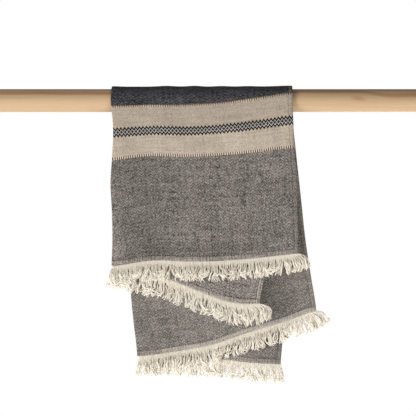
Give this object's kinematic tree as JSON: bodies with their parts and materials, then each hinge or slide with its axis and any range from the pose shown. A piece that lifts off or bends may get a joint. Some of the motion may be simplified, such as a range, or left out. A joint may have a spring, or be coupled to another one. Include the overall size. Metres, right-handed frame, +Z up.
{
  "type": "folded guest towel on a round rod",
  "caption": "Fringed striped guest towel, folded lengthwise and hung over a round wooden rod, with its front drop shorter than its back.",
  "frame": {"origin": "centre of the rod's left end face, seen from the front", "axes": "+X along the rod to the right, +Y from the short front drop to the long back drop, +Z up"},
  "size_m": [0.6, 0.0407, 0.3924],
  "materials": {
    "wood": "pale sanded softwood, thinly waxed, with long straight grain",
    "cloth": "washed linen herringbone in grey, with natural and charcoal bands near the front end",
    "yarn": "loose natural linen warp ends, slightly curled"
  },
  "bodies": {
    "root": {"rod": "wood", "towel_cloth": "cloth", "fringe_front_outer": "yarn", "fringe_front_inner": "yarn", "fringe_back_inner": "yarn", "fringe_back_outer": "yarn"}
  },
  "joints": []
}
